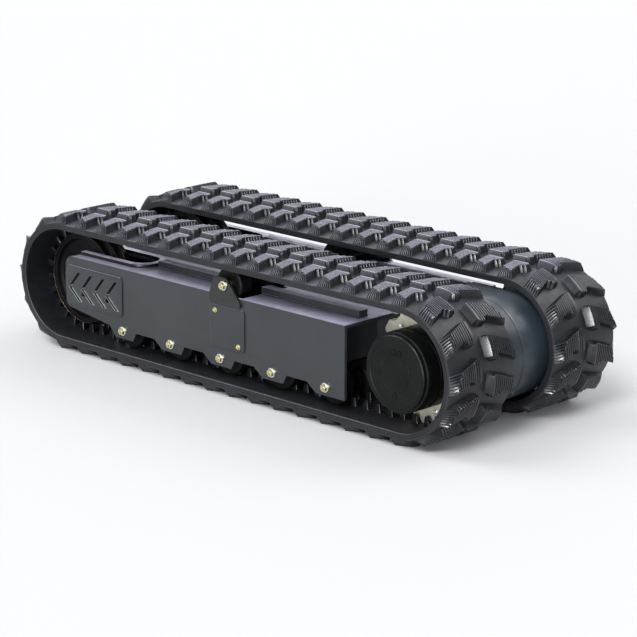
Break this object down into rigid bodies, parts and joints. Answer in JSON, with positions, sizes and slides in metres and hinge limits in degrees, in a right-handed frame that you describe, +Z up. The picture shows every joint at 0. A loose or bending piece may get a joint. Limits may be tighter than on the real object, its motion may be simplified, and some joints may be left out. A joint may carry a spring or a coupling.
{
  "type": "rubber track undercarriage",
  "caption": "Twin rubber-track undercarriage with welded frames, rollers, sprung idlers, driven sprockets and crossbeams to bolt a machine on.",
  "frame": {"origin": "on the ground plane, at the centre of the plan", "axes": "+X along the tracks towards the drive end, +Y towards the right-hand track, +Z up"},
  "size_m": [2.0548, 0.814, 0.4748],
  "materials": {
    "frame_paint": "satin dark grey-blue paint",
    "guard_paint": "satin blue-grey paint",
    "black_paint": "semi-gloss black paint over casting",
    "track_rubber": "moulded black rubber with a bluish bloom",
    "zinc_bolt": "yellow zinc plated",
    "bare_steel": "turned bare steel",
    "wheel_steel": "dark painted forging",
    "cast_sprocket": "oily cast steel"
  },
  "bodies": {
    "root": {"crossbeam_front": "frame_paint", "crossbeam_rear": "frame_paint", "track_frame_left": "frame_paint", "idler_collar_left": "frame_paint", "vent_panel_outer_left": "frame_paint", "vent_panel_inner_left": "frame_paint", "access_cover_left": "frame_paint", "rubber_track_left": "track_rubber", "carrier_bracket_left": "frame_paint", "carrier_axle_left": "zinc_bolt", "recoil_spring_left": "bare_steel", "tension_cylinder_left": "bare_steel", "drive_motor_left": "black_paint", "motor_guard_left": "guard_paint", "roller_axle_1_left": "zinc_bolt", "roller_axle_2_left": "zinc_bolt", "roller_axle_3_left": "zinc_bolt", "roller_axle_4_left": "zinc_bolt", "roller_axle_5_left": "zinc_bolt", "track_frame_right": "frame_paint", "idler_collar_right": "frame_paint", "vent_panel_outer_right": "frame_paint", "vent_panel_inner_right": "frame_paint", "access_cover_right": "frame_paint", "rubber_track_right": "track_rubber", "carrier_bracket_right": "frame_paint", "carrier_axle_right": "zinc_bolt", "recoil_spring_right": "bare_steel", "tension_cylinder_right": "bare_steel", "drive_motor_right": "black_paint", "motor_guard_right": "guard_paint", "roller_axle_1_right": "zinc_bolt", "roller_axle_2_right": "zinc_bolt", "roller_axle_3_right": "zinc_bolt", "roller_axle_4_right": "zinc_bolt", "roller_axle_5_right": "zinc_bolt"},
    "drive_left": {"sprocket_left": "cast_sprocket", "gearbox_hub_left": "black_paint", "hub_cover_left": "black_paint"},
    "idler_carriage_left": {"idler_yoke_left": "frame_paint", "idler_axle_left": "bare_steel"},
    "idler_left": {"idler_wheel_left": "wheel_steel"},
    "carrier_left": {"carrier_roller_left": "wheel_steel"},
    "roller_1_left": {"track_roller_1_left": "wheel_steel"},
    "roller_2_left": {"track_roller_2_left": "wheel_steel"},
    "roller_3_left": {"track_roller_3_left": "wheel_steel"},
    "roller_4_left": {"track_roller_4_left": "wheel_steel"},
    "roller_5_left": {"track_roller_5_left": "wheel_steel"},
    "drive_right": {"sprocket_right": "cast_sprocket", "gearbox_hub_right": "black_paint", "hub_cover_right": "black_paint"},
    "idler_carriage_right": {"idler_yoke_right": "frame_paint", "idler_axle_right": "bare_steel"},
    "idler_right": {"idler_wheel_right": "wheel_steel"},
    "carrier_right": {"carrier_roller_right": "wheel_steel"},
    "roller_1_right": {"track_roller_1_right": "wheel_steel"},
    "roller_2_right": {"track_roller_2_right": "wheel_steel"},
    "roller_3_right": {"track_roller_3_right": "wheel_steel"},
    "roller_4_right": {"track_roller_4_right": "wheel_steel"},
    "roller_5_right": {"track_roller_5_right": "wheel_steel"}
  },
  "joints": [
    {"name": "sprocket_spin_left", "type": "hinge", "parent": "root", "child": "drive_left", "pos_m": [0.79, -0.245, 0.2374], "axis": [0, 1, 0], "continuous": true},
    {"name": "idler_recoil_left", "type": "slide", "parent": "root", "child": "idler_carriage_left", "axis": [1, 0, 0], "range_m": [0, 0.04], "stiffness_N_per_m": 60000, "springref_m": -0.01, "deforming": ["recoil_spring_left"]},
    {"name": "idler_spin_left", "type": "hinge", "parent": "idler_carriage_left", "child": "idler_left", "pos_m": [-0.79, -0.245, 0.2374], "axis": [0, 1, 0], "continuous": true},
    {"name": "carrier_spin_left", "type": "hinge", "parent": "root", "child": "carrier_left", "pos_m": [0, -0.245, 0.366], "axis": [0, 1, 0], "continuous": true},
    {"name": "roller_spin_1_left", "type": "hinge", "parent": "root", "child": "roller_1_left", "pos_m": [-0.5095, -0.245, 0.114], "axis": [0, 1, 0], "continuous": true},
    {"name": "roller_spin_2_left", "type": "hinge", "parent": "root", "child": "roller_2_left", "pos_m": [-0.2695, -0.245, 0.114], "axis": [0, 1, 0], "continuous": true},
    {"name": "roller_spin_3_left", "type": "hinge", "parent": "root", "child": "roller_3_left", "pos_m": [-0.0295, -0.245, 0.114], "axis": [0, 1, 0], "continuous": true},
    {"name": "roller_spin_4_left", "type": "hinge", "parent": "root", "child": "roller_4_left", "pos_m": [0.2105, -0.245, 0.114], "axis": [0, 1, 0], "continuous": true},
    {"name": "roller_spin_5_left", "type": "hinge", "parent": "root", "child": "roller_5_left", "pos_m": [0.4505, -0.245, 0.114], "axis": [0, 1, 0], "continuous": true},
    {"name": "sprocket_spin_right", "type": "hinge", "parent": "root", "child": "drive_right", "pos_m": [0.79, 0.245, 0.2374], "axis": [0, 1, 0], "continuous": true},
    {"name": "idler_recoil_right", "type": "slide", "parent": "root", "child": "idler_carriage_right", "axis": [1, 0, 0], "range_m": [0, 0.04], "stiffness_N_per_m": 60000, "springref_m": -0.01, "deforming": ["recoil_spring_right"]},
    {"name": "idler_spin_right", "type": "hinge", "parent": "idler_carriage_right", "child": "idler_right", "pos_m": [-0.79, 0.245, 0.2374], "axis": [0, 1, 0], "continuous": true},
    {"name": "carrier_spin_right", "type": "hinge", "parent": "root", "child": "carrier_right", "pos_m": [0, 0.245, 0.366], "axis": [0, 1, 0], "continuous": true},
    {"name": "roller_spin_1_right", "type": "hinge", "parent": "root", "child": "roller_1_right", "pos_m": [-0.5095, 0.245, 0.114], "axis": [0, 1, 0], "continuous": true},
    {"name": "roller_spin_2_right", "type": "hinge", "parent": "root", "child": "roller_2_right", "pos_m": [-0.2695, 0.245, 0.114], "axis": [0, 1, 0], "continuous": true},
    {"name": "roller_spin_3_right", "type": "hinge", "parent": "root", "child": "roller_3_right", "pos_m": [-0.0295, 0.245, 0.114], "axis": [0, 1, 0], "continuous": true},
    {"name": "roller_spin_4_right", "type": "hinge", "parent": "root", "child": "roller_4_right", "pos_m": [0.2105, 0.245, 0.114], "axis": [0, 1, 0], "continuous": true},
    {"name": "roller_spin_5_right", "type": "hinge", "parent": "root", "child": "roller_5_right", "pos_m": [0.4505, 0.245, 0.114], "axis": [0, 1, 0], "continuous": true}
  ],
  "couplings": [
    {"joint": "idler_spin_left", "follows": "sprocket_spin_left", "ratio": 1},
    {"joint": "carrier_spin_left", "follows": "sprocket_spin_left", "ratio": 3.5158},
    {"joint": "roller_spin_1_left", "follows": "sprocket_spin_left", "ratio": 3.1312},
    {"joint": "roller_spin_2_left", "follows": "sprocket_spin_left", "ratio": 3.1312},
    {"joint": "roller_spin_3_left", "follows": "sprocket_spin_left", "ratio": 3.1312},
    {"joint": "roller_spin_4_left", "follows": "sprocket_spin_left", "ratio": 3.1312},
    {"joint": "roller_spin_5_left", "follows": "sprocket_spin_left", "ratio": 3.1312},
    {"joint": "idler_spin_right", "follows": "sprocket_spin_right", "ratio": 1},
    {"joint": "carrier_spin_right", "follows": "sprocket_spin_right", "ratio": 3.5158},
    {"joint": "roller_spin_1_right", "follows": "sprocket_spin_right", "ratio": 3.1312},
    {"joint": "roller_spin_2_right", "follows": "sprocket_spin_right", "ratio": 3.1312},
    {"joint": "roller_spin_3_right", "follows": "sprocket_spin_right", "ratio": 3.1312},
    {"joint": "roller_spin_4_right", "follows": "sprocket_spin_right", "ratio": 3.1312},
    {"joint": "roller_spin_5_right", "follows": "sprocket_spin_right", "ratio": 3.1312}
  ]
}
